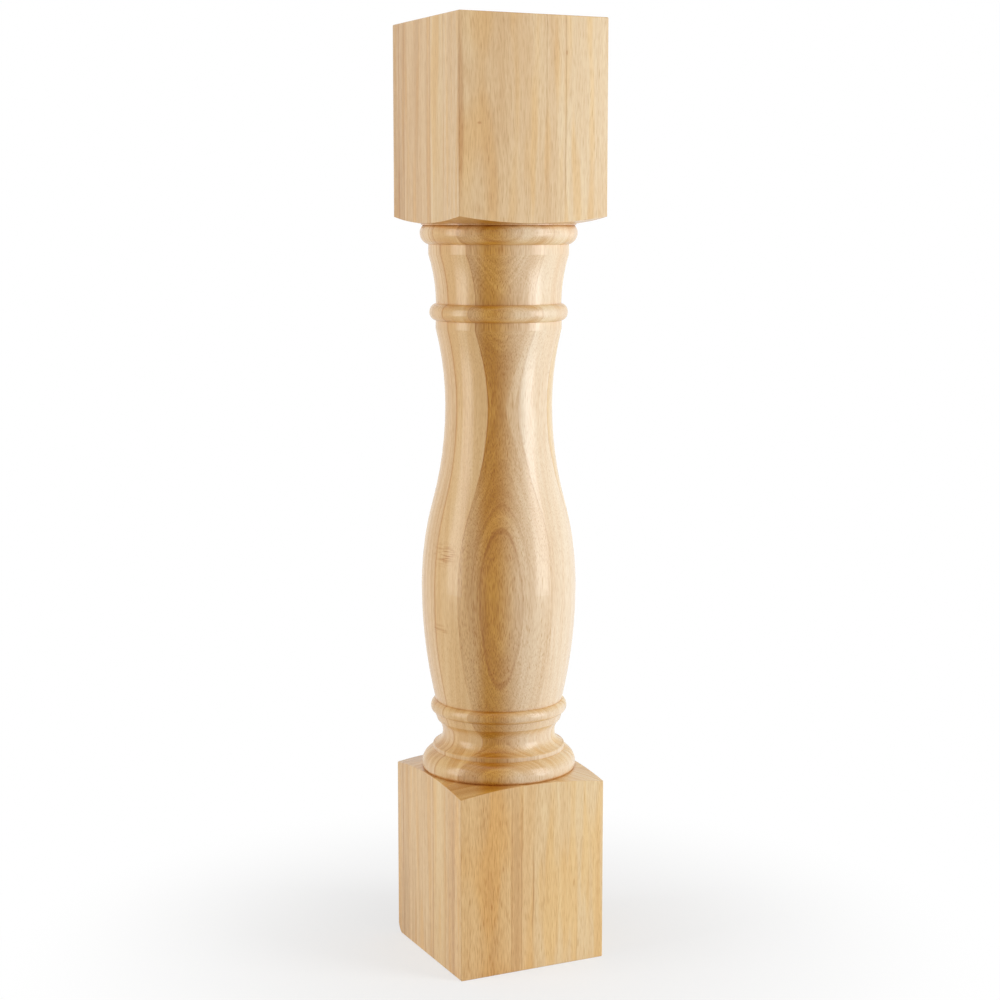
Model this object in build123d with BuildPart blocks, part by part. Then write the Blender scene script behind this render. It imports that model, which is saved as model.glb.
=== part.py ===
from build123d import *
from math import sqrt
import os

# A turned wooden post. One square blank is left square at the head and the foot
# and is turned round between them, so the whole post is a single piece of wood.
# Millimetres, +Z up. The foot stands on Z = 0 and the lathe axis is the Z axis.

# The blank
post_side = 152.4
post_height = 901.7
edge_ease = 0.8

# The square blocks, each measured along its corner edges. The lathe leaves their
# shoulders slightly domed, so they fall away from the mouldings to the corners.
foot_block = 176.7
head_block = 182.1
dome_radius = 470.0

# The foot corner at the back of the left face is worn round
worn_radius = 11.0
worn_height = 15.0

# The fullest mouldings stop this far inside the faces of the blank, and the tool
# path passes this far outside its corners
turning_allowance = 0.9
swing_clear = 5.0

# How far the pull of each moulding's curve reaches, as a share of its height
swell_pull = 0.67
bead_pull = 0.75

# Foot mouldings, from the shoulder up: quarter round, lip and scotia
quarter_foot_radius = 73.8
quarter_fullest = 5.0
quarter_height = 19.6
lip_radius = 64.5
lip_height = 4.8
lip_ease = 1.0
scotia_foot_radius = 62.8
scotia_neck_radius = 54.9
scotia_lower_height = 11.4
scotia_upper_height = 12.8

# Collar under the belly: a plain band with a bead on it
band_foot_radius = 60.4
band_top_radius = 63.0
band_height = 7.6
collar_bead_radius = 66.6
collar_bead_fullest = 4.6
collar_bead_height = 12.2

# Vase: it swells from the collar to the belly and draws in to the waist
vase_foot_radius = 61.9
belly_radius = 75.0
belly_rise = 112.8
waist_radius = 51.5
waist_drop = 73.6
ogee_share = 0.53

# Head mouldings, from the shoulder down: quirk, bead, fillet, cove, ring and band
quirk_radius = 74.0
quirk_height = 1.3
quirk_depth = 1.6
head_bead_fullest = 7.2
head_bead_height = 18.2
fillet_radius = 67.2
fillet_height = 9.2
cove_height = 46.6
cove_foot_radius = 60.1
ring_radius = 66.4
ring_height = 16.4
upper_band_radius = 60.5
upper_band_height = 7.4

# Radii that follow from the blank
half_side = post_side / 2
corner_radius = half_side * sqrt(2)
full_radius = half_side - turning_allowance
swing_radius = corner_radius + swing_clear


def dome_fall(radius):
    # How far the domed shoulder has fallen away at this distance from the axis
    return dome_radius - sqrt(dome_radius**2 - radius**2)


def swell(foot, upright, top):
    # Two curves that meet upright at the fullest or narrowest point of a moulding
    for end in (foot, top):
        Bezier(end, (upright[0], upright[1] + (end[1] - upright[1]) * swell_pull), upright)


def bead(foot, fullest, top):
    # One curve whose poles stand outside it, so that it just reaches the fullest radius
    pole_radius = (8 * fullest[0] - foot[0] - top[0]) / 6
    lower_pole = (pole_radius, fullest[1] + (foot[1] - fullest[1]) * bead_pull)
    upper_pole = (pole_radius, fullest[1] + (top[1] - fullest[1]) * bead_pull)
    Bezier(foot, lower_pole, upper_pole, top)


def arcs(foot, upright, top):
    # Two arcs that meet upright at the fullest or narrowest point of a long curve
    TangentArc(upright, foot, tangent=(0, -1))
    TangentArc(upright, top, tangent=(0, 1))


# Points of the turned profile, each as radius and height. The foot mouldings
# are built up from the foot block, and the head mouldings hang from the head block.
foot_corner = (corner_radius, foot_block)
quarter_rise = dome_fall(corner_radius) - dome_fall(quarter_foot_radius)
quarter_foot = (quarter_foot_radius, foot_block + quarter_rise)
quarter_full = (full_radius, quarter_foot[1] + quarter_fullest)
quarter_top = (lip_radius, quarter_foot[1] + quarter_height)
lip_top = (lip_radius, quarter_top[1] + lip_height - lip_ease)
lip_eased = (lip_radius - lip_ease, quarter_top[1] + lip_height)
scotia_foot = (scotia_foot_radius, lip_eased[1])
neck = (scotia_neck_radius, scotia_foot[1] + scotia_lower_height)
band_foot = (band_foot_radius, neck[1] + scotia_upper_height)
band_top = (band_top_radius, band_foot[1] + band_height)
collar_full = (collar_bead_radius, band_top[1] + collar_bead_fullest)
vase_foot = (vase_foot_radius, band_top[1] + collar_bead_height)
belly = Vector(belly_radius, vase_foot[1] + belly_rise)

head_corner = (corner_radius, post_height - head_block)
quirk_drop = dome_fall(corner_radius) - dome_fall(quirk_radius)
quirk_top = (quirk_radius, head_corner[1] - quirk_drop)
quirk_foot = (quirk_radius, quirk_top[1] - quirk_height)
bead_top = (quirk_radius - quirk_depth, quirk_foot[1])
head_bead_full = (full_radius, bead_top[1] - head_bead_fullest)
fillet_top = (fillet_radius, bead_top[1] - head_bead_height)
fillet_foot = (fillet_radius, fillet_top[1] - fillet_height)
ring_top = (cove_foot_radius, fillet_foot[1] - cove_height)
ring_foot = (upper_band_radius, ring_top[1] - ring_height)
ring_full = (ring_radius, ring_top[1] - ring_height / 2)
vase_top = (upper_band_radius, ring_foot[1] - upper_band_height)
waist = Vector(waist_radius, vase_top[1] - waist_drop)
ogee_turn = waist + (belly - waist) * ogee_share

# The worn corner is rounded about an upright line this far inside both faces
worn_centre = (worn_radius - half_side, half_side - worn_radius, 0)
corner_edge_reach = worn_radius * sqrt(2)
worn_clear = 2 * corner_edge_reach

with BuildPart() as turned_post:
    # The planed square blank, with its sharp edges just eased
    with BuildSketch():
        Rectangle(post_side, post_side)
    extrude(amount=post_height)
    chamfer(turned_post.edges(), length=edge_ease)

    # Half of what the lathe leaves, drawn from the foot up to the head
    with BuildSketch(Plane.XZ):
        with BuildLine():
            Polyline((0, 0), (swing_radius, 0), (swing_radius, foot_block), foot_corner)
            RadiusArc(foot_corner, quarter_foot, -dome_radius)
            swell(quarter_foot, quarter_full, quarter_top)
            Polyline(quarter_top, lip_top, lip_eased, scotia_foot)
            swell(scotia_foot, neck, band_foot)
            Line(band_foot, band_top)
            bead(band_top, collar_full, vase_foot)
            arcs(vase_foot, belly, ogee_turn)
            arcs(ogee_turn, waist, vase_top)
            Line(vase_top, ring_foot)
            bead(ring_foot, ring_full, ring_top)
            TangentArc(ring_top, fillet_foot, tangent=(0, 1))
            Line(fillet_foot, fillet_top)
            arcs(fillet_top, head_bead_full, bead_top)
            Polyline(bead_top, quirk_foot, quirk_top)
            RadiusArc(quirk_top, head_corner, -dome_radius)
            Polyline(
                head_corner,
                (swing_radius, head_corner[1]),
                (swing_radius, post_height),
                (0, post_height),
                (0, 0),
            )
        make_face()
    revolve(axis=Axis.Z, mode=Mode.INTERSECT)

    # The worn corner is rounded more and more towards the floor
    with BuildSketch(Plane(worn_centre, x_dir=(-1, 0, 0), z_dir=(0, 1, 0))):
        with BuildLine():
            TangentArc((corner_edge_reach, worn_height), (worn_radius, 0), tangent=(0, -1))
            Polyline(
                (worn_radius, 0),
                (worn_clear, 0),
                (worn_clear, worn_height),
                (corner_edge_reach, worn_height),
            )
        make_face()
    revolve(axis=Axis(worn_centre, (0, 0, -1)), revolution_arc=90, mode=Mode.SUBTRACT)

turned_post.part.label = "turned_post"

os.makedirs("parts", exist_ok=True)
export_step(turned_post.part, "parts/turned_post.step")
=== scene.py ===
from math import cos, pi, radians, sin
from types import SimpleNamespace

import bpy
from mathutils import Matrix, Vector


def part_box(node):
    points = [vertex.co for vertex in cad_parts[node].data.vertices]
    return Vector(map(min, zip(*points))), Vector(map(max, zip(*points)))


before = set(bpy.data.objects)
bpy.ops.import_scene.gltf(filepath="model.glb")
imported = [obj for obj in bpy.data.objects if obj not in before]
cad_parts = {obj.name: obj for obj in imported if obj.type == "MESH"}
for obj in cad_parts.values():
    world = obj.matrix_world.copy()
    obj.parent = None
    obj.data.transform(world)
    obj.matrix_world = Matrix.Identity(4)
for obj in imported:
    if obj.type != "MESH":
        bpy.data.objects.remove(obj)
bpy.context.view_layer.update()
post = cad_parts["turned_post"]
high_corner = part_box("turned_post")[1]
half_side = high_corner.x
post_height = high_corner.z

# Lengths are in metres. Those of the wood's figure are in millimetres times MM.
MM = 0.001

# The camera stands at the photograph's viewing angle, tipped down to frame the whole post
camera_azimuth = -25.8
camera_distance = 1.9
camera_height = 0.712
camera_sideways = 0.0013
camera_tilt = 7.5
camera_lens = 71.2
camera_sensor = 36.0
camera_shift = -0.015

# Two tall softboxes stand either side of the camera and a large one hangs above
softbox_spread = 68.0
softbox_distance = 1.6
softbox_height = 0.85
softbox_width = 0.7
softbox_length = 1.6
right_watts = 18.6
left_watts = 14.0
overhead_height = 2.4
overhead_size = 2.0
overhead_watts = 8.0
ambient_level = 0.315

# The floor fades to the white of the background between these distances from the post
floor_size = 14.0
floor_grey = 0.85
shadow_share = 0.4
fade_start = 0.08
fade_end = 0.5


def tone(red, green, blue):
    """A colour written as it looks, from 0 to 255, as the shader's own linear numbers."""
    shares = [value / 255 for value in (red, green, blue)]
    linear = [s / 12.92 if s <= 0.04045 else ((s + 0.055) / 1.055) ** 2.4 for s in shares]
    return (*linear, 1.0)


# The blank is glued up from four boards, face to face, from the front to the back.
# back is where a board ends along Y, and pith is the middle of its growth rings.
boards = (
    SimpleNamespace(
        back=-41 * MM,
        pith=(-81.3 * MM, -182.7 * MM, 0),
        light=tone(245, 227, 200),
        dark=tone(236, 210, 176),
    ),
    SimpleNamespace(
        back=-12 * MM,
        pith=(120 * MM, -330 * MM, 0),
        light=tone(247, 227, 190),
        dark=tone(236, 208, 162),
    ),
    SimpleNamespace(
        back=49 * MM,
        pith=(-60 * MM, 420 * MM, 0),
        light=tone(235, 204, 160),
        dark=tone(218, 180, 132),
    ),
    SimpleNamespace(
        back=half_side,
        pith=(30 * MM, 215 * MM, 0),
        light=tone(228, 195, 152),
        dark=tone(205, 166, 117),
    ),
)
board_seed_step = 7.3

# Square to the line from the post's axis to the front board's pith, towards the right
pith_way = Vector(boards[0].pith).normalized()
across_way = Vector((-pith_way.y, pith_way.x, 0))

# The grain bends slowly and ripples quickly: the patches of each along X, Y and Z, and the
# whole range over which it moves the rings
grain_bends = (
    SimpleNamespace(patch=(90 * MM, 90 * MM, 300 * MM), detail=1.0, reach=3 * MM),
    SimpleNamespace(patch=(25 * MM, 25 * MM, 60 * MM), detail=2.0, reach=1.6 * MM),
)

# Along the belly, between bow_low and bow_high, the rings lean and bow about bow_height
bow_height = 370 * MM
bow_lean = -0.007
bow_curve = 0.49
bow_low = 215 * MM
bow_high = 490 * MM

# Light and dark growth comes in broad bands, streaks and fine lines: their width across the
# rings, their length along the post, and their share in the sum. The growth is light up to
# the first level of the sum, and dark from the second on.
growth_layers = (
    SimpleNamespace(width=13 * MM, length=260 * MM, detail=1.0, share=0.42),
    SimpleNamespace(width=3.2 * MM, length=130 * MM, detail=2.0, share=0.33),
    SimpleNamespace(width=0.9 * MM, length=45 * MM, detail=1.0, share=0.25),
)
growth_light = 0.36
growth_dark = 0.64

# Heartwood of the front board: what lies nearer the pith than this ring, and all that lies
# to the left of heart_left. A weaker rim lies outside the ring.
heart_radius = 149.3 * MM
heart_edge = 0.8 * MM
heart_left = 5 * MM
heart_rim_radius = 152.3 * MM
heart_rim = 0.78
heart_light = tone(213, 162, 75)
heart_dark = tone(187, 132, 43)

# It pales to the right and to the left by these shares, and this much of it is left on the
# planed faces of the head and the foot
# Partly heartwood grading out, partly painted light: it pales towards each side softbox
heart_paling_and_painted_light = (
    SimpleNamespace(start=-8 * MM, end=24 * MM, share=0.80),
    SimpleNamespace(start=-12 * MM, end=-28 * MM, share=0.33),
)
heart_planed_head = 0.22
heart_planed_foot = 0.52

# It is darkest on the vase, between its two ends, which are each a soft step
vase_foot = (270 * MM, 340 * MM)
vase_head = (640 * MM, 560 * MM)
vase_heart_tint = tone(245, 238, 226)

# The second board turns golden from right to left, less so on the planed faces
golden_start = 45 * MM
golden_end = -5 * MM
golden_planed_head = 0.4
golden_planed_foot = 0.8
golden_tint = tone(238, 220, 194)

# The flat faces of the blocks, which lie furthest out, are planed, and the rest is turned.
# The foot's looks change to the head's between these heights.
planed_start = half_side - 0.7 * MM
planed_end = half_side - 0.3 * MM
head_start = 260 * MM
foot_end = 150 * MM

# The planed faces have drunk a little more lacquer, most in golden streaks of this width
# across the rings and this length along the post
gold_streak = (9 * MM, 150 * MM, 1.0)
gold_start = 0.46
gold_end = 0.64
gold_tint = tone(255, 246, 226)

# On the front board they are paler past a ring, and each block has its own colours
foot_sap_radius = 134.2 * MM
sap_edge = 2 * MM
head_front_tint = tone(242, 232, 211)
head_sap_tint = tone(246, 240, 223)
head_back_tint = tone(243, 239, 231)
foot_front_tint = tone(255, 243, 213)
foot_sap_tint = tone(255, 247, 223)
foot_back_tint = tone(255, 252, 240)

# Single dark rings of the front board: radius, half the width, strength, and between which
# heights they show, with a fade at each end. The belly's own rings bow with it and are
# weaker to the right.
belly_rings = (
    SimpleNamespace(radius=128.6 * MM, half=0.40 * MM, strength=0.50, low=215 * MM, high=480 * MM),
    SimpleNamespace(radius=127.4 * MM, half=1.2 * MM, strength=0.20, low=215 * MM, high=450 * MM),
    SimpleNamespace(radius=132.6 * MM, half=0.35 * MM, strength=0.35, low=330 * MM, high=520 * MM),
)
dark_rings = (
    SimpleNamespace(radius=foot_sap_radius, half=0.5 * MM, strength=0.60, low=10 * MM, high=150 * MM),
    SimpleNamespace(radius=123.8 * MM, half=1.8 * MM, strength=0.28, low=-90 * MM, high=200 * MM),
    SimpleNamespace(radius=121.2 * MM, half=0.4 * MM, strength=0.40, low=-90 * MM, high=200 * MM),
    SimpleNamespace(radius=126.6 * MM, half=0.4 * MM, strength=0.45, low=-90 * MM, high=200 * MM),
    SimpleNamespace(radius=141.5 * MM, half=0.5 * MM, strength=0.25, low=700 * MM, high=990 * MM),
    SimpleNamespace(radius=152.4 * MM, half=0.6 * MM, strength=0.25, low=370 * MM, high=740 * MM),
    SimpleNamespace(radius=155.3 * MM, half=0.5 * MM, strength=0.45, low=700 * MM, high=990 * MM),
)
belly_ring_fade = (-5 * MM, 20 * MM)
belly_ring_right = 0.6
ring_end_fade = 60 * MM
dark_ring_tint = tone(204, 166, 118)

# Thin lines that lie at one depth each, from foot to head, the glue lines among them
straight_lines = (
    SimpleNamespace(y=-41.0 * MM, half=0.35 * MM, strength=0.5),
    SimpleNamespace(y=-12.0 * MM, half=0.9 * MM, strength=0.7),
    SimpleNamespace(y=-5.0 * MM, half=0.5 * MM, strength=0.4),
    SimpleNamespace(y=8.5 * MM, half=0.5 * MM, strength=0.4),
    SimpleNamespace(y=49.0 * MM, half=0.5 * MM, strength=0.7),
    SimpleNamespace(y=62.0 * MM, half=1.0 * MM, strength=0.7),
)
straight_line_tint = tone(226, 196, 160)

# A line or ring is darkest up to the first share of half its width, and gone at the second
line_core = 0.4
line_end = 1.6

# Pin knots, a dark streak down the head's front edge, and rippled patches on the belly, with
# places and sizes in millimetres
spots = (
    SimpleNamespace(place=(-55.9, -76.2, 803), size=(2.0, 3, 1.2), strength=0.5, rippled=False),
    SimpleNamespace(place=(44.5, -76.2, 79.4), size=(0.7, 3, 4), strength=0.6, rippled=False),
    SimpleNamespace(place=(32.5, -76.2, 868), size=(1.1, 3, 2.2), strength=0.4, rippled=False),
    SimpleNamespace(place=(-74.5, -75.5, 815), size=(3.0, 3.5, 85), strength=0.4, rippled=False),
    SimpleNamespace(place=(-70.3, -23.1, 402), size=(16, 14, 10), strength=0.7, rippled=True),
    SimpleNamespace(place=(-71.7, -18.1, 329), size=(12, 12, 5), strength=0.45, rippled=True),
)
spot_tint = tone(208, 162, 98)

# A spot is darkest up to the first share of its size, and gone at the second
spot_core = 0.5
spot_end = 1.4
ripple_patch = (16 * MM, 16 * MM, 1.5 * MM)
ripple_start = 0.40
ripple_end = 0.66

# Pores are short dark dashes along the grain, which show most in the heartwood
pore_layers = (
    SimpleNamespace(width=0.6 * MM, length=12 * MM, detail=1.0, start=0.52, end=0.76),
    SimpleNamespace(width=0.4 * MM, length=9 * MM, detail=0.0, start=0.46, end=0.74),
)
pores_in_pale = 0.32
pores_in_heart = 0.8
pore_tint = tone(212, 184, 144)
pore_bump = 0.15
pore_bump_depth = 0.1 * MM

# End grain drinks in the lacquer, the dark growth most. It sets in as the surface tips up or
# down, between these two upright shares of its normal.
end_grain_start = 0.15
end_grain_end = 0.95
end_grain_tint = tone(255, 250, 230)
end_growth_tint = tone(245, 229, 201)

# Painted shade darkens the corners between the mouldings. It starts where this share of the
# space within reach is open, and is full at the second share.
painted_shade_reach = 5 * MM
painted_shade_samples = 8
painted_shade_start = 0.90
painted_shade_end = 0.35
painted_shade_tint = tone(222, 192, 146)

# Wood under a clear satin lacquer
wood_roughness = 0.5
wood_specular = 0.05
lacquer_weight = 0.8
lacquer_roughness = 0.22
lacquer_ior = 1.5

# Where a Mix node keeps its two values and its result, for each kind of value
MIX_SOCKETS = {"FLOAT": (2, 3, 0), "VECTOR": (4, 5, 1), "RGBA": (6, 7, 2)}


class Tree:
    """Adds nodes to a shader tree. A value is a number, a vector, a colour or an output."""

    def __init__(self, owner):
        owner.use_nodes = True
        self.nodes = owner.node_tree.nodes
        self.links = owner.node_tree.links
        self.nodes.clear()

    def add(self, kind, **settings):
        node = self.nodes.new("ShaderNode" + kind)
        for name, value in settings.items():
            setattr(node, name, value)
        return node

    def feed(self, socket, value):
        if isinstance(value, bpy.types.NodeSocket):
            self.links.new(value, socket)
        else:
            socket.default_value = value

    def maths(self, operation, *values):
        node = self.add("Math", operation=operation)
        for socket, value in zip(node.inputs, values):
            self.feed(socket, value)
        return node.outputs[0]

    def vector(self, operation, *values):
        node = self.add("VectorMath", operation=operation)
        for socket, value in zip(node.inputs, values):
            self.feed(socket, value)
        gives_number = operation in ("LENGTH", "DISTANCE", "DOT_PRODUCT")
        return node.outputs["Value" if gives_number else "Vector"]

    def split(self, vector):
        node = self.add("SeparateXYZ")
        self.feed(node.inputs[0], vector)
        return node.outputs

    def join(self, x, y, z):
        node = self.add("CombineXYZ")
        for socket, value in zip(node.inputs, (x, y, z)):
            self.feed(socket, value)
        return node.outputs[0]

    def mix(self, factor, first, second, kind="RGBA", blend="MIX"):
        """The first value where the factor is 0, and the second where it is 1."""
        first_socket, second_socket, output = MIX_SOCKETS[kind]
        node = self.add("Mix", data_type=kind, blend_type=blend)
        self.feed(node.inputs[0], factor)
        self.feed(node.inputs[first_socket], first)
        self.feed(node.inputs[second_socket], second)
        return node.outputs[output]

    def between(self, factor, first, second):
        """The same for two numbers."""
        return self.mix(factor, first, second, "FLOAT")

    def stain(self, colour, amount, tint):
        """The colour multiplied by a tint, as far as amount goes from 0 to 1."""
        return self.mix(amount, colour, tint, blend="MULTIPLY")

    def rise(self, value, start, end):
        """0 up to start and 1 from end on, with a soft step between them."""
        node = self.add("MapRange", interpolation_type="SMOOTHSTEP")
        self.feed(node.inputs["Value"], value)
        self.feed(node.inputs["From Min"], start)
        self.feed(node.inputs["From Max"], end)
        return node.outputs["Result"]

    def noise(self, place, patch, detail):
        """Smooth noise about 0.5, in patches of this size along the three values of place."""
        node = self.add("TexNoise")
        self.feed(node.inputs["Vector"], self.vector("DIVIDE", place, patch))
        self.feed(node.inputs["Scale"], 1.0)
        self.feed(node.inputs["Detail"], detail)
        return node.outputs["Fac"]

    def seen(self):
        """1 for what is seen directly, in a gloss or through glass, and 0 for what only lights."""
        path = self.add("LightPath")
        direct = self.maths("MAXIMUM", path.outputs["Is Camera Ray"], path.outputs["Is Glossy Ray"])
        return self.maths("MAXIMUM", direct, path.outputs["Is Transmission Ray"])


def by_board(tree, y, name, kind):
    """What each board has under this name, chosen by where the point lies along Y."""
    value = getattr(boards[-1], name)
    for board in reversed(boards[:-1]):
        in_front = tree.maths("LESS_THAN", y, board.back)
        value = tree.mix(in_front, value, getattr(board, name), kind)
    return value


def board_seed(tree, y):
    """A different number for each board, so that no two have the same streaks."""
    value = 0.0
    for board in boards[:-1]:
        value = tree.maths("ADD", value, tree.maths("LESS_THAN", y, board.back))
    return tree.maths("MULTIPLY", value, board_seed_step)


def wandering(tree, place):
    """The place with the bends and ripples of the grain taken out of it."""
    shift = 0.0
    for bend in grain_bends:
        away = tree.maths("SUBTRACT", tree.noise(place, bend.patch, bend.detail), 0.5)
        shift = tree.maths("ADD", shift, tree.maths("MULTIPLY", away, bend.reach))
    return tree.vector("ADD", place, tree.join(shift, shift, 0.0))


def bowed(tree, ring, z):
    """The ring's radius with its lean and bow along the belly taken out of it."""
    near = tree.maths("MINIMUM", tree.maths("MAXIMUM", z, bow_low), bow_high)
    drop = tree.maths("SUBTRACT", bow_height, near)
    slope = tree.maths("ADD", tree.maths("MULTIPLY", drop, bow_curve), bow_lean)
    return tree.maths("SUBTRACT", ring, tree.maths("MULTIPLY", drop, slope))


def wood_point(tree):
    """Where each point lies in the post, in its board and among the growth rings."""
    coordinates = tree.add("TexCoord")
    place = coordinates.outputs["Object"]
    x, y, z = tree.split(place)
    spread = tree.maths("MAXIMUM", tree.maths("ABSOLUTE", x), tree.maths("ABSOLUTE", y))
    normal_z = tree.split(coordinates.outputs["Normal"])[2]

    grain = wandering(tree, place)
    grain_x, grain_y, _ = tree.split(grain)
    pith = by_board(tree, y, "pith", "VECTOR")
    ring = tree.vector("DISTANCE", tree.join(grain_x, grain_y, 0.0), pith)
    belly_ring = bowed(tree, ring, z)
    return SimpleNamespace(
        x=x,
        y=y,
        z=z,
        tip=tree.maths("ABSOLUTE", normal_z),
        in_front=tree.maths("LESS_THAN", y, boards[0].back),
        planed=tree.rise(spread, planed_start, planed_end),
        at_foot=tree.rise(z, head_start, foot_end),
        grain=grain,
        grain_y=grain_y,
        across=tree.vector("DOT_PRODUCT", grain, across_way),
        ring=ring,
        belly_ring=belly_ring,
        figure=tree.join(belly_ring, z, board_seed(tree, y)),
    )


def growth(tree, point):
    """How dark the growth is at each point, from 0 to 1."""
    depth = 0.0
    for layer in growth_layers:
        part = tree.noise(point.figure, (layer.width, layer.length, 1.0), layer.detail)
        depth = tree.maths("ADD", depth, tree.maths("MULTIPLY", part, layer.share))
    return tree.rise(depth, growth_light, growth_dark)


def inside_ring(tree, ring, radius):
    """1 nearer the pith than this radius, with the heartwood's soft edge."""
    return tree.rise(ring, radius + heart_edge / 2, radius - heart_edge / 2)


def left_on_blocks(tree, point, head_share, foot_share):
    """1 on the turned wood, and on the planed faces the share of their own block."""
    on_block = tree.between(point.at_foot, head_share, foot_share)
    return tree.between(point.planed, 1.0, on_block)


def heartwood(tree, point):
    """How far each point is heartwood, paled to each side partly by painted light."""
    inside = inside_ring(tree, point.ring, heart_radius)
    rim = inside_ring(tree, point.ring, heart_rim_radius)
    inside = tree.maths("MAXIMUM", inside, tree.maths("MULTIPLY", rim, heart_rim))
    left = tree.rise(point.across, heart_left + heart_edge, heart_left)
    heart = tree.maths("MULTIPLY", tree.maths("MAXIMUM", inside, left), point.in_front)
    # Partly painted light: the heart is made paler towards each side softbox
    for fade in heart_paling_and_painted_light:
        paler = tree.maths("MULTIPLY", tree.rise(point.across, fade.start, fade.end), fade.share)
        heart = tree.maths("MULTIPLY", heart, tree.maths("SUBTRACT", 1.0, paler))
    left_over = left_on_blocks(tree, point, heart_planed_head, heart_planed_foot)
    return tree.maths("MULTIPLY", heart, left_over)


def board_colour(tree, point, heart, depth):
    """Light and dark growth in each board's colours, or the heartwood's where there is any."""
    light = tree.mix(heart, by_board(tree, point.y, "light", "RGBA"), heart_light)
    dark = tree.mix(heart, by_board(tree, point.y, "dark", "RGBA"), heart_dark)
    colour = tree.mix(depth, light, dark)

    on_vase = tree.maths("MULTIPLY", tree.rise(point.z, *vase_foot), tree.rise(point.z, *vase_head))
    return tree.stain(colour, tree.maths("MULTIPLY", heart, on_vase), vase_heart_tint)


def golden_stain(tree, point, colour):
    """Adds the gold of the second board."""
    up_to_second = tree.maths("LESS_THAN", point.y, boards[1].back)
    in_second = tree.maths("SUBTRACT", up_to_second, point.in_front)
    golden = tree.maths("MULTIPLY", in_second, tree.rise(point.x, golden_start, golden_end))
    left_over = left_on_blocks(tree, point, golden_planed_head, golden_planed_foot)
    return tree.stain(colour, tree.maths("MULTIPLY", golden, left_over), golden_tint)


def planed_stain(tree, point, colour):
    """Adds the golden streaks of the planed faces, and the colours of the two blocks."""
    streak = tree.rise(tree.noise(point.figure, gold_streak, detail=1.0), gold_start, gold_end)
    colour = tree.stain(colour, tree.maths("MULTIPLY", point.planed, streak), gold_tint)

    sap_radius = tree.between(point.at_foot, heart_radius, foot_sap_radius)
    outside = tree.maths("SUBTRACT", point.ring, sap_radius)
    sap = tree.rise(outside, -sap_edge / 2, sap_edge / 2)
    head_tint = tree.mix(sap, head_front_tint, head_sap_tint)
    foot_tint = tree.mix(sap, foot_front_tint, foot_sap_tint)
    head_tint = tree.mix(point.in_front, head_back_tint, head_tint)
    foot_tint = tree.mix(point.in_front, foot_back_tint, foot_tint)
    return tree.stain(colour, point.planed, tree.mix(point.at_foot, head_tint, foot_tint))


def band(tree, value, centre, half):
    """1 at the centre, fading to 0 a little past half on either side of it."""
    away = tree.maths("ABSOLUTE", tree.maths("SUBTRACT", value, centre))
    return tree.rise(away, half * line_end, half * line_core)


def ring_marks(tree, ring, z, marks):
    """How dark these single rings make each point."""
    total = 0.0
    for mark in marks:
        shown = tree.rise(z, mark.low, mark.low + ring_end_fade)
        shown = tree.maths("MULTIPLY", shown, tree.rise(z, mark.high, mark.high - ring_end_fade))
        shown = tree.maths("MULTIPLY", shown, band(tree, ring, mark.radius, mark.half))
        total = tree.maths("MAXIMUM", total, tree.maths("MULTIPLY", shown, mark.strength))
    return total


def front_rings(tree, point):
    """How dark the front board's single rings make each point."""
    to_right = tree.between(tree.rise(point.across, *belly_ring_fade), 1.0, belly_ring_right)
    bowing = tree.maths("MULTIPLY", ring_marks(tree, point.belly_ring, point.z, belly_rings), to_right)
    rings = tree.maths("MAXIMUM", bowing, ring_marks(tree, point.ring, point.z, dark_rings))
    return tree.maths("MULTIPLY", rings, point.in_front)


def line_marks(tree, y):
    """How dark the straight lines make each point."""
    total = 0.0
    for mark in straight_lines:
        shown = tree.maths("MULTIPLY", band(tree, y, mark.y, mark.half), mark.strength)
        total = tree.maths("MAXIMUM", total, shown)
    return total


def spot_marks(tree, place):
    """How dark the knots and the rippled patches make each point."""
    ripples = tree.rise(tree.noise(place, ripple_patch, detail=1.0), ripple_start, ripple_end)
    total = 0.0
    for spot in spots:
        centre = Vector(spot.place) * MM
        away = tree.vector("DIVIDE", tree.vector("SUBTRACT", place, centre), Vector(spot.size) * MM)
        shown = tree.rise(tree.vector("LENGTH", away), spot_end, spot_core)
        if spot.rippled:
            shown = tree.maths("MULTIPLY", shown, ripples)
        total = tree.maths("MAXIMUM", total, tree.maths("MULTIPLY", shown, spot.strength))
    return total


def pore_marks(tree, grain, heart):
    """How dark the pores make each point."""
    pores = 0.0
    for layer in pore_layers:
        noise = tree.noise(grain, (layer.width, layer.width, layer.length), layer.detail)
        pores = tree.maths("ADD", pores, tree.rise(noise, layer.start, layer.end))
    pores = tree.maths("MULTIPLY", pores, tree.between(heart, pores_in_pale, pores_in_heart))
    return tree.maths("MINIMUM", pores, 1.0)


def end_grain_and_painted_shade(tree, point, colour, depth):
    """Adds the end grain that the lacquer darkens, and painted shade in the corners between the
    mouldings.
    """
    end_grain = tree.rise(point.tip, end_grain_start, end_grain_end)
    colour = tree.stain(colour, end_grain, end_grain_tint)
    colour = tree.stain(colour, tree.maths("MULTIPLY", end_grain, depth), end_growth_tint)

    # Painted shade: the more closed in a corner between the mouldings is, the darker it is painted
    occlusion = tree.add("AmbientOcclusion", samples=painted_shade_samples, only_local=True)
    tree.feed(occlusion.inputs["Distance"], painted_shade_reach)
    painted_shade = tree.rise(occlusion.outputs["AO"], painted_shade_start, painted_shade_end)
    return tree.stain(colour, painted_shade, painted_shade_tint)


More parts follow.
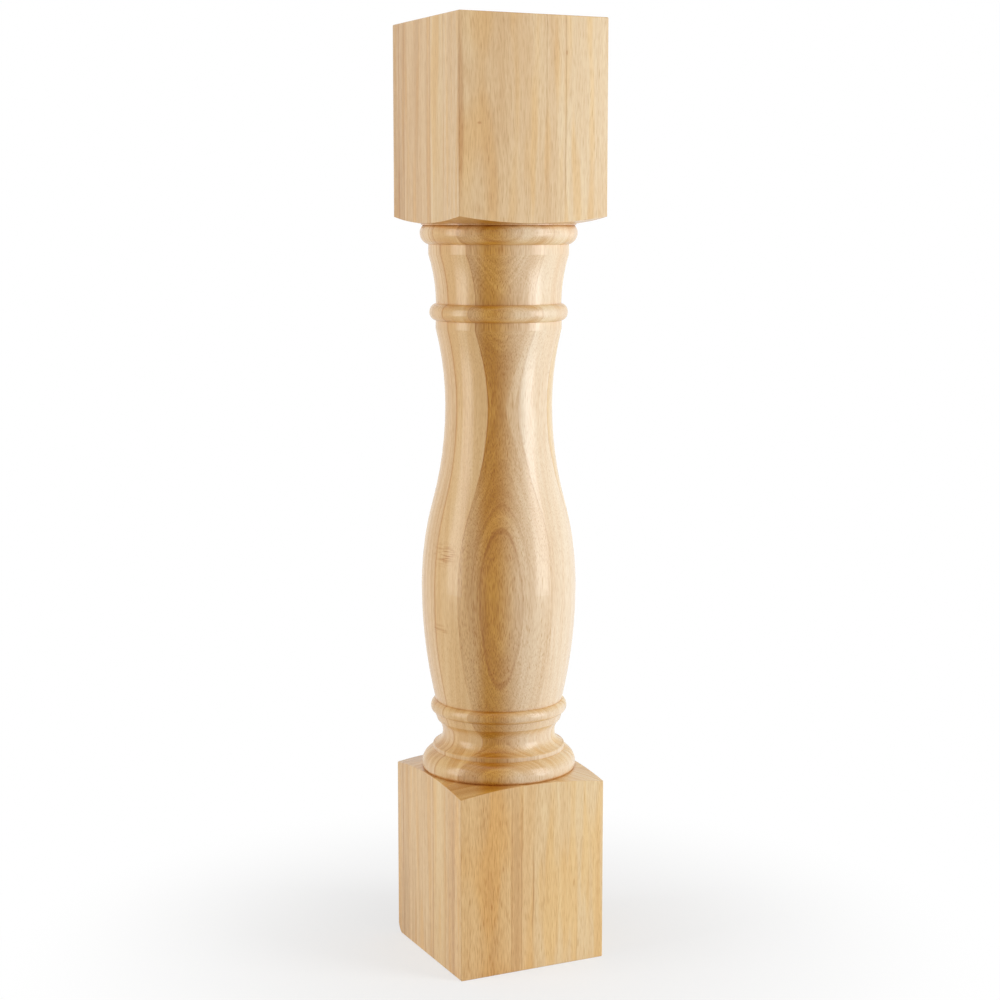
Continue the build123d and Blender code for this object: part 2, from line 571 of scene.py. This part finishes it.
def wood():
    """The whole post's material: four boards of pale hardwood under a clear lacquer."""
    material = bpy.data.materials.new("wood")
    tree = Tree(material)
    point = wood_point(tree)
    depth = growth(tree, point)
    heart = heartwood(tree, point)
    pores = pore_marks(tree, point.grain, heart)

    colour = board_colour(tree, point, heart, depth)
    colour = golden_stain(tree, point, colour)
    colour = planed_stain(tree, point, colour)
    colour = tree.stain(colour, front_rings(tree, point), dark_ring_tint)
    colour = tree.stain(colour, line_marks(tree, point.grain_y), straight_line_tint)
    colour = tree.stain(colour, spot_marks(tree, point.grain), spot_tint)
    colour = tree.stain(colour, pores, pore_tint)
    colour = end_grain_and_painted_shade(tree, point, colour, depth)

    bump = tree.add("Bump")
    tree.feed(bump.inputs["Strength"], pore_bump)
    tree.feed(bump.inputs["Distance"], pore_bump_depth)
    tree.feed(bump.inputs["Height"], tree.maths("SUBTRACT", 1.0, pores))

    shader = tree.add("BsdfPrincipled")
    tree.feed(shader.inputs["Base Color"], colour)
    tree.feed(shader.inputs["Roughness"], wood_roughness)
    tree.feed(shader.inputs["Normal"], bump.outputs["Normal"])
    tree.feed(shader.inputs["Specular IOR Level"], wood_specular)
    tree.feed(shader.inputs["Coat Weight"], lacquer_weight)
    tree.feed(shader.inputs["Coat Roughness"], lacquer_roughness)
    tree.feed(shader.inputs["Coat IOR"], lacquer_ior)
    output = tree.add("OutputMaterial")
    tree.feed(output.inputs["Surface"], shader.outputs[0])
    return material


def floor_white():
    """White like the background, with only the post's own shadow on it."""
    material = bpy.data.materials.new("floor_white")
    tree = Tree(material)
    diffuse = tree.add("BsdfDiffuse")
    tree.feed(diffuse.inputs["Color"], (floor_grey, floor_grey, floor_grey, 1.0))
    glow = tree.add("Emission")
    position = tree.add("NewGeometry").outputs["Position"]
    away = tree.rise(tree.vector("LENGTH", position), fade_start, fade_end)
    share = tree.between(away, 1 - shadow_share, 1.0)
    blend = tree.add("MixShader")
    tree.feed(blend.inputs["Fac"], tree.maths("MULTIPLY", share, tree.seen()))
    tree.feed(blend.inputs[1], diffuse.outputs[0])
    tree.feed(blend.inputs[2], glow.outputs[0])
    output = tree.add("OutputMaterial")
    tree.feed(output.inputs["Surface"], blend.outputs[0])
    return material


def add_floor():
    mesh = bpy.data.meshes.new("floor")
    reach = floor_size / 2
    corners = [(-reach, -reach, 0), (reach, -reach, 0), (reach, reach, 0), (-reach, reach, 0)]
    mesh.from_pydata(corners, [], [(0, 1, 2, 3)])
    mesh.materials.append(floor_white())
    floor = bpy.data.objects.new("floor", mesh)
    bpy.context.collection.objects.link(floor)


def round_post(azimuth, distance, height):
    """A place seen from the post at this azimuth, which is 0 towards -Y and 90 towards +X."""
    turn = radians(azimuth)
    return Vector((sin(turn) * distance, -cos(turn) * distance, height))


def add_lamp(name, place, width, length, watts):
    """A softbox at this place that faces the post, level with itself or from above."""
    data = bpy.data.lights.new(name, "AREA")
    data.shape = "RECTANGLE"
    data.size = width
    data.size_y = length
    data.energy = watts
    lamp = bpy.data.objects.new(name, data)
    lamp.location = place
    target = Vector((0, 0, min(place.z, post_height)))
    lamp.rotation_euler = (target - place).to_track_quat("-Z", "Y").to_euler()
    lamp.visible_camera = False
    bpy.context.collection.objects.link(lamp)


def add_lights():
    right = round_post(camera_azimuth + softbox_spread, softbox_distance, softbox_height)
    left = round_post(camera_azimuth - softbox_spread, softbox_distance, softbox_height)
    add_lamp("right_softbox", right, softbox_width, softbox_length, right_watts)
    add_lamp("left_softbox", left, softbox_width, softbox_length, left_watts)
    overhead = Vector((0, 0, overhead_height))
    add_lamp("overhead_softbox", overhead, overhead_size, overhead_size, overhead_watts)


def add_world():
    """White where it is seen, and dimmer where it only lights the post."""
    world = bpy.data.worlds.new("studio")
    tree = Tree(world)
    background = tree.add("Background")
    tree.feed(background.inputs["Color"], (1.0, 1.0, 1.0, 1.0))
    tree.feed(background.inputs["Strength"], tree.between(tree.seen(), ambient_level, 1.0))
    output = tree.add("OutputWorld")
    tree.feed(output.inputs["Surface"], background.outputs[0])
    bpy.context.scene.world = world


def add_camera():
    data = bpy.data.cameras.new("camera")
    data.sensor_width = camera_sensor
    data.lens = camera_lens
    data.shift_y = camera_shift
    camera = bpy.data.objects.new("camera", data)
    turn = radians(camera_azimuth)
    sideways = Vector((cos(turn), sin(turn), 0)) * camera_sideways
    camera.location = round_post(camera_azimuth, camera_distance, camera_height) + sideways
    camera.rotation_euler = (pi / 2 - radians(camera_tilt), 0, turn)
    bpy.context.collection.objects.link(camera)
    bpy.context.scene.camera = camera


post.material_slots[0].material = wood()
add_floor()
add_lights()
add_world()
add_camera()
bpy.context.scene.view_settings.view_transform = "Standard"
